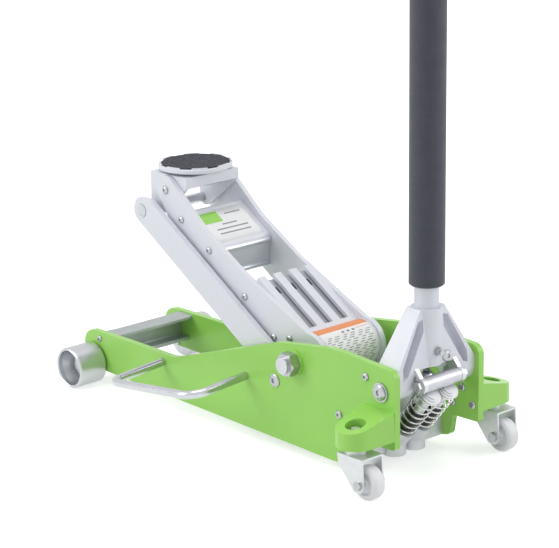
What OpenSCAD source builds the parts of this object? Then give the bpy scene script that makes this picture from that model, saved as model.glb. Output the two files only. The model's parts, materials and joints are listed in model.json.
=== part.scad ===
// Aluminium trolley jack: twin-plate frame, parallelogram lift arm, twin pump and upright handle.
// +X points to the saddle end, +Y to the left side, +Z up. The origin is on the floor,
// under the middle of the wheelbase envelope. "back" is a distance behind the front axle.

/* [Frame] */
// Front axle to the caster swivels
wheelbase = 654; // [640:1:680]
// Clearance between a link and the side plate
plate_room = 2.7; // [1.5:0.1:6]
// Thickness of a side plate
plate_t = 10; // [8:0.5:12]
// Height of the plates at the rear
plate_top = 188; // [182:1:200]
// Height of the plates at the nose
nose_top = 84.5; // [80:0.5:90]
// Height of the plates' lower edge at the nose
plate_low = 22; // [16:1:28]
// Nose-up rake of the frame, degrees
rake = 1.16; // [0.6:0.02:1.6]
// Depth of the front cross member, front to rear
cross_d = 34; // [28:1:44]
// Wall of the front cross member
cross_t = 6; // [4:0.5:8]

/* [Front wheels] */
// Outer radius of a front wheel
wheel_r = 32.7; // [28:0.1:34]
// Width of a front wheel
wheel_w = 52; // [40:1:60]
// Rim thickness round the dished outer face
wheel_rim = 4.5; // [3:0.5:7]
// Diameter of the front axle
axle_d = 16; // [12:1:18]

/* [Casters] */
// Outer radius of a caster wheel
caster_r = 24; // [21:0.5:25]
// Width of a caster wheel
caster_w = 22; // [16:1:26]
// Distance of the caster axle behind its swivel
caster_trail = 24; // [18:1:28]
// Swivel centre out from the side plate
caster_out = 45.6; // [42:0.2:55]
// Height of the underside of the caster brackets, along the raked frame
bracket_z = 84; // [80:1:90]
// Height of the caster bracket over the swivel
bracket_h = 30.5; // [26:0.5:40]
// Fall of the bracket's top per millimetre outward
bracket_fall = 0.24; // [0.1:0.02:0.4]
// Radius of the rounded bracket end
bracket_r = 26.5; // [22:0.5:28]

/* [Carry handles] */
// Diameter of the carry handle rod
carry_d = 12.5; // [10:0.5:14]
// Reach of a carry handle out from the plate
carry_out = 108; // [80:1:120]
// Distance between the two ends of a carry handle
carry_l = 197; // [150:1:210]
// Upward tilt of the carry handle to the rear, degrees
carry_tilt = 7.8; // [0:0.2:12]
// Drop of the carry handle outward, degrees
carry_drop = 4.4; // [0:0.2:8]
// Centre-line radius of the carry handle's rear bend
carry_bend = 28; // [18:1:38]
// Centre-line radius of the carry handle's front bend
carry_nip = 18; // [14:1:38]

/* [Lift arm] */
// Distance of the arm pivot behind the front axle
arm_back = 477.6; // [472:0.2:484]
// Height of the arm pivot
arm_z = 148.1; // [144:0.1:154]
// Arm pivot to saddle pivot
arm_len = 371; // [360:1:376]
// Arm angle above horizontal, as modelled, degrees
arm_angle = 30.9; // [26:0.1:36]
// Width over the arm plates
arm_w = 120; // [114:1:126]
// Thickness of an arm plate
arm_t = 8; // [6:0.5:9]
// Radius of the arm round its rear pivot
arm_rear_r = 37; // [34:0.5:40]
// Radius of the arm round the saddle pivot
arm_front_r = 22; // [20:0.5:24]
// Depth of the arm plates below the pivot line
arm_low = 44; // [36:0.5:46]
// Diameter of the main pivot shaft
shaft_d = 24; // [20:1:26]
// Arm pivot to the horn pin that the ram pushes
horn_len = 55; // [52:0.5:58]
// Diameter of the horn pin
horn_pin_d = 16; // [12:1:18]
// Outer radius of the roller on the horn pin
horn_roller_r = 13; // [11:0.5:15]
// Thickness of the slotted rear cover
cover_t = 6; // [4:0.5:8]
// Width of a slot in the rear cover
slot_w = 16; // [10:1:18]
// Spacing of the slots
slot_pitch = 30.6; // [28:0.2:32]
// Length of the slotted stretch
slot_l = 112; // [80:1:114]

/* [Levelling links] */
// Clearance between an arm plate and a link
link_room = 5.5; // [4:0.5:8]
// Forward offset of a link from the arm
link_dx = 41.5; // [40:0.5:44]
// Downward offset of a link from the arm
link_dz = 37.5; // [36:0.5:39]
// Thickness of a link
link_t = 9; // [7:0.5:10]
// Width of a link
link_w = 46; // [40:1:48]
// Radius of a link's end
link_r = 19.5; // [17:0.5:20]
// Diameter of the link pins
link_pin_d = 14; // [10:1:16]

/* [Saddle] */
// Radius of the saddle dish
dish_r = 57; // [50:0.5:58]
// Height of the saddle dish
dish_h = 9.6; // [8:0.2:14]
// Radius of the rubber pad
pad_r = 52.5; // [44:0.5:53]
// Height of the dish floor over the saddle pivot
dish_up = 25.5; // [25:0.5:30]
// Thickness of the bracket's top plate
bracket_top_t = 10; // [7:0.5:10]
// Thickness of the bracket's cheeks
cheek_t = 7; // [5:0.5:9]
// Diameter of the saddle spindle
spindle_d = 24; // [18:1:28]
// Diameter of the rod through the saddle pivot
saddle_rod_d = 14; // [10:1:14]

/* [Pump] */
// Slope of the pump barrels below horizontal, degrees
pump_angle = 50; // [48:1:52]
// Spacing of the two pump barrels
pump_pitch = 34; // [33:0.5:38]
// Diameter of a pump plunger
plunger_d = 16; // [12:1:18]
// Radius of the plunger cap
cap_r = 12.5; // [10:0.5:14]
// Outer radius of a pump spring
spring_r = 15.8; // [14.5:0.1:16.4]
// Wire diameter of a pump spring
wire_d = 2.4; // [1.6:0.2:2.8]
// Number of turns of a pump spring
spring_turns = 6.5; // [5:0.5:8]
// Length of a pump spring, from its cap to the block
spring_l = 78; // [74:1:82]
// Height of the lift cylinder axis
ram_z = 97; // [94:0.5:100]
// Diameter of the ram rod
ram_d = 24; // [18:1:28]
// Outer radius of the lift cylinder
cylinder_r = 23; // [20:0.5:26]

/* [Handle] */
// Yoke pivot behind the caster swivels
yoke_back = 2; // [0:0.5:4]
// Height of the yoke pivot
yoke_z = 149.5; // [147:0.5:152]
// Height of the yoke collar over its pivot
yoke_h = 105; // [95:1:115]
// Outer radius of the yoke's collar round the handle tube
collar_r = 22; // [20:0.5:24]
// Diameter of the handle tube
tube_d = 34.6; // [30:0.2:38]
// Wall of the handle tube
tube_t = 2.5; // [1.5:0.1:4]
// Length of the lower handle tube
lower_l = 520; // [460:10:600]
// Length of the upper handle tube
upper_l = 500; // [420:10:600]
// Bare tube between the yoke and the foam sleeve
foam_gap = 31; // [20:1:60]
// Length of the foam sleeve
foam_l = 405; // [300:5:420]
// Diameter of the foam sleeve
foam_d = 50; // [44:0.5:56]
// Length of the rubber grip
grip_l = 130; // [100:5:160]
// Outer radius of the pump roller
roller_r = 10.6; // [9:0.2:11]

/* [Hidden] */
$fn = 48;
EPS = 0.01;         // overshoot of a cut
FIT = 0.1;          // radial clearance of a running fit
GAP = 0.3;          // clearance between faces of pieces that move on each other
SEAT = 0.02;        // clearance between a screw and its own hole

// Colours
PAINT = [0.50, 0.78, 0.27];
CAST = [0.80, 0.81, 0.84];
STEEL = [0.62, 0.64, 0.66];
ZINC = [0.78, 0.78, 0.76];
RUBBER = [0.13, 0.13, 0.15];
FOAM = [0.25, 0.25, 0.29];
NYLON = [0.85, 0.85, 0.85];

// Frame stations
rise = bracket_z - wheel_r;         // caster bracket over the front axle, along the rake
overall_l = wheel_r + wheelbase * cos(rake) + rise * sin(rake) + caster_trail + caster_r;
axle_x = overall_l / 2 - wheel_r;
caster_x = axle_x - wheelbase;
yoke_x = caster_x - yoke_back;
arm_x = axle_x - arm_back;
arm_out = arm_w / 2;
arm_in = arm_out - arm_t;
link_in = arm_out + link_room;
link_out = link_in + link_t;
plate_in = link_out + plate_room;
plate_out = plate_in + plate_t;
plate_rear = caster_x - 29;         // rear edge of the side plates
plate_nose = axle_x + 27.5;
screw_r = 6;                        // button head screws
screw_head = 3.5;
screw_shank_r = 4;
nose_screws = [[axle_x - 14, nose_top - 11]];
stop_x = yoke_x + 30.1;             // pins that stop the handle upright
stop_z = yoke_z + 15;
block_screw_x = caster_x + 82;
block_screw_z = bracket_z + 11;
bracket_screws = [[3, 32], [-18, 10], [22, 5]];   // from the swivel and the bracket's underside

// Front wheels
wheel_in = plate_out + 2;
wheel_mid = wheel_in + wheel_w / 2;
wheel_web = 18;                     // thickness of the hub web
hub_r = 13;
axle_nut_t = 11;

// Casters
caster_y = plate_out + caster_out;
stem_r = 6;
fork_h = 9;                         // bracket's underside down to the fork's top plate
// Swivel point in the level frame, and the axle's depth below it that reaches the floor
swivel_x = axle_x - wheelbase * cos(rake) - rise * sin(rake);
swivel_z = wheel_r - wheelbase * sin(rake) + rise * cos(rake);
caster_drop = swivel_z - caster_r;
fork_t = 2.5;
fork_w = caster_w + 2 * (fork_t + 6);
race_r = 16;
counterbore_r = 14.5;
counterbore_h = 14;

// Arm
saddle_x = arm_x + arm_len * cos(arm_angle);
saddle_z = arm_z + arm_len * sin(arm_angle);
horn_local = -107;                  // direction of the horn in the arm's own frame
horn_a = horn_len * cos(horn_local);
horn_n = horn_len * sin(horn_local);
horn_x = arm_x + horn_len * cos(horn_local + arm_angle);
arm_waist = 10;                     // top edge over the pivot line at its lowest
box_top = -1;
box_rear = arm_len - 131;
box_front = arm_len - 44;
box_low_rear = arm_len - 153;
box_low = -48;
box_wall = 6;
cover_top = 20.5;
cover_front = 148;
cover_r = arm_rear_r - 3;
cover_w = 2 * (arm_in - 0.2);
arm_screw_places = [[box_front - 8, -15], [box_rear + 6, -12], [cover_front + 1, -17], [70, -25],
                    [44, -2]];
hub_tube_r = 21;

// Links
link_x = arm_x + link_dx;
link_z = arm_z - link_dz;
pin_x = saddle_x + link_dx;
pin_z = saddle_z - link_dz;

// Saddle head
head_out = arm_in - 0.5;
cheek_in = head_out - cheek_t;
head_top = saddle_z + dish_up - 3.6;      // top of the bracket's plate
head_low = head_top - bracket_top_t;
head_front = saddle_x + 46;
head_rear = saddle_x - 40;
dish_z = saddle_z + dish_up;
cheek_r = 16;                       // metal round the pins in the cheeks
spindle_r = spindle_d / 2;
spindle_low = saddle_z + saddle_rod_d / 2 + 1.5;
clip_t = 1.5;

// Pump
pump_ax = yoke_x - 28;              // centre of a plunger cap's top face
pump_az = yoke_z - 11.7;
cap_t = 5;
boot_s = 42;                        // barrels start this far down the pump axis
pump_stroke = 33;                   // travel of a plunger
boss_s = cap_t + spring_l;
boss_r = 17;
boot_r = 12;
block_l = 70;
block_slant = 26;                   // chamfered top edge behind the barrels
block_neck = 24;                    // round parts end this far under the top
block_rear = caster_x + 42;
block_front = block_rear + block_l;
block_top = 84;
block_low = 31.5;
block_round_r = 17;
block_round_low = 30.5;
push_gap = 1;                       // rest gap between the horn roller and the pusher
pusher_t = 7;
push_face = horn_x - horn_roller_r - push_gap;
pusher_top = arm_z - cover_r - 2;
pusher_low = ram_z - 19;
cylinder_front = arm_x - 52;
ram_stroke_back = 42;
rod_rear = push_face - pusher_t - 66;
cylinder_rear = rod_rear - ram_stroke_back - 4;
valve_r = 4;
valve_from = [block_rear + 3, block_top - 7];
ball_r = 9;
cup_t = 3;

// Handle
socket_bore_r = tube_d / 2 + FIT;
collar_z = yoke_z + yoke_h;
socket_floor = yoke_z + 36;
bell_low = yoke_z + 23;
roller_half = pump_pitch / 2 + 16.5;
strap_t = 7;
leg_out = plate_in - GAP;
leg_in = roller_half + strap_t + 2;
leg_r = 17;
leg_front = yoke_x + 23.5;
leg_rear = yoke_x - 18.5;
shoulder_z = yoke_z + 20;
neck = collar_r + 1.5;              // half width of the yoke at the collar
flange_lean = 5;                    // the flanges narrow towards the collar
lock_z = socket_floor + 8;
dome_r = 8.5;                       // domed screw over the pump roller
dome_at = [22.5, bell_low + dome_r - shoulder_z];
roller_x = yoke_x - 27;
roller_z = yoke_z + 3.5;
strap_r = 11;
strap_up = [yoke_x - 2, yoke_z + 32];
bolt_r = 5;
yoke_bolt_r = 8;
tube_low = socket_floor + 0.5;
tube_top = tube_low + lower_l;
foam_low = collar_z + foam_gap;
upper_lap = 60;
upper_low = tube_top - upper_lap;
upper_top = tube_top + upper_l - upper_lap;
grip_t = 3.5;

// ---------- helpers ----------
function unit(v) = v / norm(v);
// Outline through corners given as [x, z, corner radius], with arcs of n steps.
function round_poly(c, n = 8) = [
  for (i = [0 : len(c) - 1])
    let (a = c[(i + len(c) - 1) % len(c)], b = c[i], d = c[(i + 1) % len(c)],
         p = [b[0], b[1]],
         u = unit([a[0], a[1]] - p),
         v = unit([d[0], d[1]] - p),
         half = acos(u * v) / 2)
    if (b[2] <= 0) p
    else
      let (o = p + unit(u + v) * b[2] / sin(half),
           s = p + u * b[2] / tan(half) - o,
           e = p + v * b[2] / tan(half) - o,
           a0 = atan2(s[1], s[0]),
           turn = atan2(s[0] * e[1] - s[1] * e[0], s * e))
      each [for (k = [0 : n]) o + b[2] * [cos(a0 + turn * k / n), sin(a0 + turn * k / n)]]
];

// An outline in X and Z, extruded along Y.
module along_y(y0, y1) {
  translate([0, y1, 0]) rotate([90, 0, 0]) linear_extrude(y1 - y0) children();
}

// An outline in Y and Z, extruded along X.
module along_x(x0, x1) {
  translate([x0, 0, 0]) rotate([90, 0, 90]) linear_extrude(x1 - x0) children();
}

module rod_y(x, z, r, y0, y1) {
  translate([x, y1, z]) rotate([90, 0, 0]) cylinder(r = r, h = y1 - y0);
}

module rod_x(z, r, x0, x1) {
  translate([x0, 0, z]) rotate([0, 90, 0]) cylinder(r = r, h = x1 - x0);
}

module both_sides() {
  children();
  mirror([0, 1, 0]) children();
}

module in_arm() {
  translate([arm_x, 0, arm_z]) rotate([0, -arm_angle, 0]) children();
}

// The whole frame sits nose-up on its wheels, turned about the front axle.
module raked() {
  translate([axle_x, 0, wheel_r]) rotate([0, -rake, 0]) translate([-axle_x, 0, -wheel_r]) children();
}

// Undoes the rake round a point, for what stays level.
module level(x, z) {
  translate([x, 0, z]) rotate([0, rake, 0]) translate([-x, 0, -z]) children();
}

// Pump frame: +X runs down the barrels from the face of the caps.
module in_pump(y) {
  translate([pump_ax, y, pump_az]) rotate([0, pump_angle, 0]) children();
}

// Button head screw along +Z: shank down from the seat, domed head up.
module dome_screw(depth, r, shank) {
  difference() {
    union() {
      translate([0, 0, -depth]) cylinder(r = shank, h = depth);
      rotate_extrude() polygon([[0, 0], [r, 0], [r, screw_head * 0.45], [r * 0.85, screw_head * 0.8],
                                [r * 0.55, screw_head], [0, screw_head]]);
    }
    translate([0, 0, screw_head - 1.8]) cylinder(r = r * 0.42, h = 2, $fn = 6);
  }
}

// The same along +Y, seated at y.
module button_screw(x, z, y, depth, r = screw_r, shank = screw_shank_r) {
  translate([x, y, z]) rotate([-90, 0, 0]) dome_screw(depth, r, shank);
}

// Hexagonal nut along +Y with chamfered corners and its own bore.
module nut_y(x, z, y, r, t, bore) {
  translate([x, y, z]) rotate([-90, 0, 0]) intersection() {
    difference() {
      cylinder(r = r, h = t, $fn = 6);
      translate([0, 0, -EPS]) cylinder(r = bore, h = t + 2 * EPS);
    }
    rotate_extrude() polygon([[0, 0], [r * 0.93, 0], [r, t * 0.15], [r, t * 0.8], [r * 0.86, t], [0, t]]);
  }
}

// ---------- frame ----------
module plate_outline() {
  polygon(round_poly([
    [plate_nose, nose_top - 1, 26],
    [axle_x - 100, nose_top + 2, 150],
    [axle_x - 203, nose_top + 3, 90],
    [arm_x + 33, arm_z + 22.5, 160],
    [yoke_x + 96, plate_top + 1, 200],
    [plate_rear, plate_top - 4, 15],
    [plate_rear, bracket_z - 13, 4],
    [caster_x + 21, bracket_z - 15, 9],
    [caster_x + 27, plate_low + 15, 8],
    [caster_x + 91, plate_low, 50],
    [plate_nose, plate_low, 20]
  ]));
}

module side_plate() {
  difference() {
    union() {
      along_y(plate_in, plate_out) plate_outline();
      rod_y(arm_x, arm_z, shaft_d / 2 + 8, plate_out - 1, plate_out + 3);
    }
    rod_y(axle_x, wheel_r, axle_d / 2 + SEAT, plate_in - 1, plate_out + 1);
    rod_y(arm_x, arm_z, shaft_d / 2 + SEAT, plate_in - 1, plate_out + 4);
    rod_y(link_x, link_z, link_pin_d / 2 + SEAT, plate_in - 1, plate_out + 1);
    rod_y(yoke_x, yoke_z, yoke_bolt_r + SEAT, plate_in - 1, plate_out + 1);
    rod_y(stop_x, stop_z, screw_shank_r + SEAT, plate_in - 1, plate_out + 1);
    rod_y(block_screw_x, block_screw_z, screw_shank_r + SEAT, plate_in - 1, plate_out + 1);
    for (p = nose_screws) rod_y(p[0], p[1], screw_shank_r + SEAT, plate_in - 1, plate_out + 1);
    for (p = bracket_screws)
      rod_y(caster_x + p[0], bracket_z + p[1], screw_shank_r + SEAT, plate_in - 1, plate_out + 1);
    in_carry() for (x = [0, -carry_l]) rod_y(x, 0, carry_d / 2 + SEAT, -plate_t - 3, 3);
  }
}

module side_plate_left() { color(PAINT) side_plate(); }
module side_plate_right() { color(PAINT) mirror([0, 1, 0]) side_plate(); }

module front_cross_member() {
  web_x = axle_x - 10;
  top = nose_top - 2;
  low = plate_low + 17;
  color(CAST) difference() {
    union() {
      along_y(-plate_in, plate_in) polygon(round_poly([
        [web_x, top, 5], [web_x, low, 4], [web_x - cross_d * 0.75, low, 1],
        [web_x - cross_d * 0.75, low + cross_t, 1], [web_x - cross_t, low + cross_t, 3],
        [web_x - cross_t, top - cross_t, 4], [web_x - cross_d, top - cross_t, 1], [web_x - cross_d, top, 2]
      ], 4));
      both_sides() for (p = nose_screws) rod_y(p[0], p[1], screw_shank_r + 5, plate_in - 16, plate_in);
    }
    both_sides() for (p = nose_screws)
      rod_y(p[0], p[1], screw_shank_r + SEAT, plate_in - 14, plate_in + 1);
  }
}

module front_axle() {
  reach = wheel_in + wheel_web + axle_nut_t + 5;
  color(STEEL) union() {
    rod_y(axle_x, wheel_r, axle_d / 2, -reach, reach);
    both_sides() rod_y(axle_x, wheel_r, axle_d / 2 + 3, plate_in - 3, plate_in - SEAT);
  }
}

module axle_nuts() {
  seat = wheel_in + wheel_web + GAP;
  color(ZINC) both_sides() {
    nut_y(axle_x, wheel_r, seat + 1.6, axle_d / 2 + 5, axle_nut_t - 2, axle_d / 2 + SEAT);
    difference() {
      rod_y(axle_x, wheel_r, axle_d / 2 + 4.5, seat, seat + 1.6);
      rod_y(axle_x, wheel_r, axle_d / 2 + SEAT, seat - 1, seat + 3);
    }
    difference() {
      rod_y(axle_x, wheel_r, axle_d / 2 + 7, plate_out, wheel_in - GAP);
      rod_y(axle_x, wheel_r, axle_d / 2 + SEAT, plate_out - 1, wheel_in + 1);
    }
  }
}

// Frame of a carry handle: its front end on the plate's outer face, X along the two ends, Y out.
module in_carry() {
  translate([axle_x - 176, plate_out, nose_top - 9.5]) rotate([-carry_drop, carry_tilt, 0]) children();
}

module carry_handle() {
  r = carry_d / 2;
  reach = carry_out - r;
  in_carry() {
    rod_y(0, 0, r, -plate_t + 1, reach - carry_nip);
    rod_y(-carry_l, 0, r, -plate_t + 1, reach - carry_bend);
    translate([-carry_l + carry_bend, reach, 0]) rotate([0, 90, 0])
      cylinder(r = r, h = carry_l - carry_bend - carry_nip);
    translate([-carry_nip, reach - carry_nip, 0])
      rotate_extrude(angle = 90) translate([carry_nip, 0]) circle(r = r);
    translate([-carry_l + carry_bend, reach - carry_bend, 0])
      rotate([0, 0, 90]) rotate_extrude(angle = 90) translate([carry_bend, 0]) circle(r = r);
  }
}

module carry_handle_left() { color(CAST) carry_handle(); }
module carry_handle_right() { color(CAST) mirror([0, 1, 0]) carry_handle(); }

module caster_bracket() {
  top_mid = bracket_z + bracket_h;
  difference() {
    level(caster_x, bracket_z) intersection() {
      translate([0, 0, bracket_z]) linear_extrude(bracket_h * 2) polygon(round_poly([
        [plate_rear, plate_out, 0], [caster_x - bracket_r, caster_y + bracket_r, bracket_r - 0.5],
        [caster_x + bracket_r, caster_y + bracket_r, bracket_r - 0.5],
        [caster_x + bracket_r + 4.5, plate_out, 0]
      ], 16));
      along_x(caster_x - 2 * bracket_r, caster_x + 2 * bracket_r) polygon([
        [plate_out, bracket_z], [caster_y + bracket_r + 1, bracket_z],
        [caster_y + bracket_r + 1, top_mid - bracket_fall * (bracket_r + 1)],
        [plate_out, top_mid + bracket_fall * caster_out]
      ]);
    }
    level(caster_x, bracket_z) translate([caster_x, caster_y, bracket_z - 1]) {
      cylinder(r = stem_r + FIT, h = bracket_h);
      translate([0, 0, counterbore_h + 1]) cylinder(r = counterbore_r, h = bracket_h * 2);
    }
    for (p = bracket_screws)
      rod_y(caster_x + p[0], bracket_z + p[1], screw_shank_r + SEAT, plate_out - 1, plate_out + 13);
  }
}

module caster_bracket_left() { color(PAINT) caster_bracket(); }
module caster_bracket_right() { color(PAINT) mirror([0, 1, 0]) caster_bracket(); }

module frame_screws() {
  color(ZINC) both_sides() {
    button_screw(block_screw_x, block_screw_z, plate_out, plate_t + 12);
    for (p = nose_screws) button_screw(p[0], p[1], plate_out, plate_t + 12, 5);
    for (p = bracket_screws) translate([0, 2 * plate_in, 0]) mirror([0, 1, 0])
      button_screw(caster_x + p[0], bracket_z + p[1], plate_in, plate_t + 12);
    button_screw(stop_x, stop_z, plate_out, plate_t);
    rod_y(stop_x, stop_z, screw_r, plate_in - 8, plate_in);
  }
}

// ---------- pump ----------
module pump_block() {
  half = plate_in;
  color(CAST) difference() {
    union() {
      along_y(-half, half) polygon(round_poly([
        [block_rear, block_top - 6, 5], [block_rear, block_low, 5], [block_front, block_low, 8],
        [block_front, block_top, 10], [block_rear + block_slant, block_top, 14]
      ], 4));
      for (s = [-1, 1]) {
        translate([block_rear, s * (block_round_r + 2), block_round_low])
          cylinder(r = block_round_r, h = block_top - block_neck - block_round_low);
        in_pump(s * pump_pitch / 2) translate([boss_s, 0, 0]) rotate([0, 90, 0])
          cylinder(r = boss_r, h = 44);
      }
      rod_x(ram_z, cylinder_r + 6, cylinder_rear - 4, block_front + 4);
      in_valve() cylinder(r = valve_r + 4, h = 18);
      both_sides() along_y(half - 14, half) polygon(round_poly([
        [block_screw_x - 14, block_top - 10, 0], [block_screw_x - 14, block_screw_z + 12, 10],
        [block_screw_x + 14, block_screw_z + 12, 10], [block_screw_x + 14, block_top - 10, 0]
      ], 5));
    }
    for (s = [-1, 1]) in_pump(s * pump_pitch / 2) translate([boss_s - 1, 0, 0]) rotate([0, 90, 0])
      cylinder(r = boot_r + SEAT, h = pump_stroke + 5);
    rod_x(ram_z, cylinder_r + SEAT, cylinder_rear - SEAT, block_front + 5);
    in_valve() translate([0, 0, -SEAT]) cylinder(r = valve_r + FIT, h = 200);
    both_sides() rod_y(block_screw_x, block_screw_z, screw_shank_r + SEAT, half - 13, half + 1);
  }
}

// Slope of the release valve stem from vertical.
function valve_tilt() = -atan2(valve_from[0] - yoke_x, yoke_z - valve_from[1]);
valve_len = norm([valve_from[0] - yoke_x, yoke_z - valve_from[1]]);

module in_valve() {
  translate([valve_from[0], 0, valve_from[1]]) rotate([0, valve_tilt(), 0])
    translate([0, 0, -14]) children();
}

module pump_barrels() {
  color(RUBBER) for (s = [-1, 1]) in_pump(s * pump_pitch / 2) rotate([0, 90, 0]) difference() {
    translate([0, 0, boot_s]) cylinder(r = boot_r, h = boss_s + pump_stroke + 3 - boot_s);
    translate([0, 0, boot_s - 1]) cylinder(r = plunger_d / 2 + FIT, h = boss_s + pump_stroke + 2 - boot_s);
  }
}

module lift_cylinder() {
  color(STEEL) difference() {
    rod_x(ram_z, cylinder_r, cylinder_rear, cylinder_front);
    rod_x(ram_z, ram_d / 2 + FIT, cylinder_rear + 3, cylinder_front + 1);
  }
}

module gland_nut() {
  color(ZINC) difference() {
    translate([cylinder_front - 8, 0, ram_z]) rotate([0, 90, 0])
      cylinder(r = cylinder_r + 7, h = 8, $fn = 6);
    rod_x(ram_z, cylinder_r + SEAT, cylinder_front - 9, cylinder_front + 1);
  }
}

module ram_rod() {
  color(STEEL) union() {
    rod_x(ram_z, ram_d / 2, rod_rear, push_face - pusher_t + EPS);
    translate([push_face - pusher_t, -20, pusher_low]) cube([pusher_t, 40, pusher_top - pusher_low]);
  }
}

// ---------- main pivot ----------
module pivot_shaft() {
  color(STEEL) rod_y(arm_x, arm_z, shaft_d / 2, -plate_out - 24, plate_out + 24);
}

module pivot_spacers() {
  color(STEEL) both_sides() difference() {
    rod_y(arm_x, arm_z, shaft_d / 2 + 6, arm_out + GAP, plate_in);
    rod_y(arm_x, arm_z, shaft_d / 2 + SEAT, arm_out - 1, plate_in + 1);
  }
}

module pivot_nuts() {
  color(ZINC) both_sides() nut_y(arm_x, arm_z, plate_out + 3, shaft_d / 2 + 6.5, 16, shaft_d / 2 + SEAT);
}

module link_bolts() {
  color(ZINC) both_sides()
    button_screw(link_x, link_z, plate_out, plate_out - arm_out - 1.5, 10, link_pin_d / 2);
}

module yoke_bolts() {
  color(ZINC) both_sides() {
    button_screw(yoke_x, yoke_z, plate_out + 2.5, plate_out + 2.5 - leg_in + 1, 11, yoke_bolt_r);
    difference() {
      rod_y(yoke_x, yoke_z, 14, plate_out, plate_out + 2.5 - SEAT);
      rod_y(yoke_x, yoke_z, yoke_bolt_r + SEAT, plate_out - 1, plate_out + 4);
    }
  }
}

// ---------- lift arm ----------
module arm_outline() {
  polygon(round_poly([
    [0, arm_rear_r - 3, 0], [60, 26, 80], [175, arm_waist + 1, 200],
    [arm_len - 96, arm_waist - 2, 150], [arm_len, arm_front_r - 0.5, 0], [arm_len, -arm_front_r + 0.5, 0],
    [arm_len - 40, -arm_low + 4, 50], [arm_len - 90, -arm_low, 80],
    [70, -arm_low, 80], [0, -arm_rear_r + 1, 0]
  ]));
}

module horn_outline() {
  r = horn_pin_d * 0.97;
  polygon([[horn_a - r, horn_n], [horn_a + r, horn_n],
           [arm_rear_r * 0.8, -arm_rear_r * 0.6], [-arm_rear_r * 0.9, -arm_rear_r * 0.4]]);
}

module arm_plate() {
  in_arm() difference() {
    union() {
      along_y(arm_in, arm_out) arm_outline();
      along_y(arm_in, arm_out) horn_outline();
      rod_y(0, 0, arm_rear_r, arm_in, arm_out);
      rod_y(arm_len, 0, arm_front_r, arm_in, arm_out);
      rod_y(horn_a, horn_n, horn_pin_d, arm_in, arm_out);
    }
    rod_y(0, 0, shaft_d / 2 + FIT, arm_in - 1, arm_out + 1);
    rod_y(horn_a, horn_n, horn_pin_d / 2 + SEAT, arm_in - 1, arm_out + 1);
    rod_y(arm_len, 0, screw_shank_r + SEAT, arm_in - 1, arm_out + 1);
    for (p = arm_screw_places) rod_y(p[0], p[1], screw_shank_r + SEAT, arm_in - 1, arm_out + 1);
  }
}

module arm_plate_left() { color(CAST) arm_plate(); }
module arm_plate_right() { color(CAST) mirror([0, 1, 0]) arm_plate(); }

module arm_upper_box() {
  half = cover_w / 2;
  outline = [[box_front, box_top, 9], [box_rear, box_top, 8], [box_low_rear, box_low, 6],
             [box_front - 8, box_low, 8]];
  inner = [[box_front - box_wall, box_top - box_wall, 3], [box_rear + box_wall, box_top - box_wall, 3],
           [box_low_rear + box_wall + 4, box_low + box_wall, 3],
           [box_front - 8 - box_wall, box_low + box_wall, 3]];
  color(CAST) in_arm() difference() {
    along_y(-half, half) polygon(round_poly(outline, 6));
    along_y(-half + 10, half - 10) polygon(round_poly(inner, 4));
    both_sides() for (p = [arm_screw_places[0], arm_screw_places[1]])
      rod_y(p[0], p[1], screw_shank_r + SEAT, half - 13, half + 1);
  }
}

module arm_rear_cover() {
  half = cover_w / 2;
  top_a = sqrt(cover_r * cover_r - cover_top * cover_top);
  color(CAST) in_arm() difference() {
    union() {
      along_y(-half, half) difference() {
        union() {
          circle(r = cover_r);
          translate([0, cover_top - cover_t]) square([cover_front, cover_t]);
          polygon([[0, cover_top], [0, 0], [top_a, 0], [top_a, cover_top]]);
        }
        circle(r = cover_r - cover_t);
        polygon([[-cover_r * 0.9, -cover_r * 1.2], [cover_r * 3, -cover_r * 1.2],
                 [cover_r * 3, cover_top - cover_t], [top_a * 0.9, cover_top - cover_t - EPS],
                 [0, 0]]);
      }
      // side flanges that the arm screws hold
      both_sides() along_y(half - 8, half) polygon(round_poly([
        [top_a + 2, cover_top - 1, 0], [cover_front - 4, cover_top - 1, 0], [cover_front + 11, -6, 6],
        [cover_front + 11, -28, 6], [64, -36, 8], [31, -14, 10]
      ], 4));
    }
    for (k = [-1, 0, 1]) translate([cover_front - slot_l, k * slot_pitch - slot_w / 2, cover_top - 20])
      cube([slot_l + 1, slot_w, 40]);
    both_sides() for (i = [2, 3, 4])
      rod_y(arm_screw_places[i][0], arm_screw_places[i][1], screw_shank_r + SEAT, half - 13, half + 1);
  }
}

module arm_screws() {
  color(ZINC) in_arm() both_sides() {
    for (p = arm_screw_places) button_screw(p[0], p[1], arm_out, arm_t + 7, 5.5);
    button_screw(arm_len, 0, arm_out, arm_t + 7, 6.5);
  }
}

module arm_pivot_tube() {
  color(STEEL) in_arm() difference() {
    rod_y(0, 0, hub_tube_r, -arm_in, arm_in);
    rod_y(0, 0, shaft_d / 2 + FIT, -arm_w, arm_w);
  }
}

module horn_pin() {
  color(STEEL) in_arm() rod_y(horn_a, horn_n, horn_pin_d / 2, -arm_out, arm_out);
}

module horn_roller() {
  color(ZINC) in_arm() difference() {
    rod_y(horn_a, horn_n, horn_roller_r, -arm_in + GAP, arm_in - GAP);
    rod_y(horn_a, horn_n, horn_pin_d / 2 + FIT, -arm_w, arm_w);
  }
}

module saddle_rod() {
  color(STEEL) in_arm() difference() {
    rod_y(arm_len, 0, saddle_rod_d / 2, -arm_in, arm_in);
    both_sides() rod_y(arm_len, 0, screw_shank_r + SEAT, arm_in - 8, arm_in + 1);
  }
}

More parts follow.
